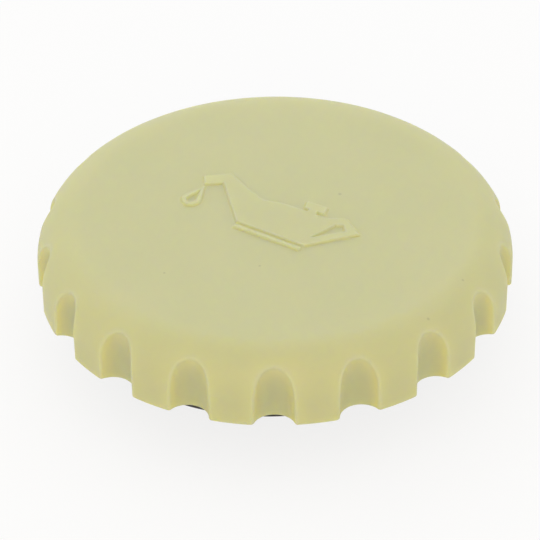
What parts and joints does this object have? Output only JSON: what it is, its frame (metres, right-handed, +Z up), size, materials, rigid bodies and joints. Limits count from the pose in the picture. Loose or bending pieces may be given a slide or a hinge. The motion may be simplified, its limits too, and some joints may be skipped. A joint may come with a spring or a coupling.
{
  "type": "oil filler cap",
  "caption": "Round fluted filler cap in cream plastic with a sloping shoulder, a raised oil-can symbol, a black bayonet neck and a rubber sealing ring.",
  "frame": {"origin": "on the cap's axis, in the plane of the neck's end that the part stands on", "axes": "+Z up along the cap's axis, out of the crown; -Y towards the flute that faces the camera"},
  "size_m": [0.07, 0.0698, 0.0213],
  "materials": {
    "cream_nylon": "moulded, matt, cream",
    "black_nylon": "moulded, satin, black",
    "seal_rubber": "moulded, dull, black"
  },
  "bodies": {
    "root": {"cap": "cream_nylon", "closure": "black_nylon", "seal_ring": "seal_rubber"}
  },
  "joints": []
}
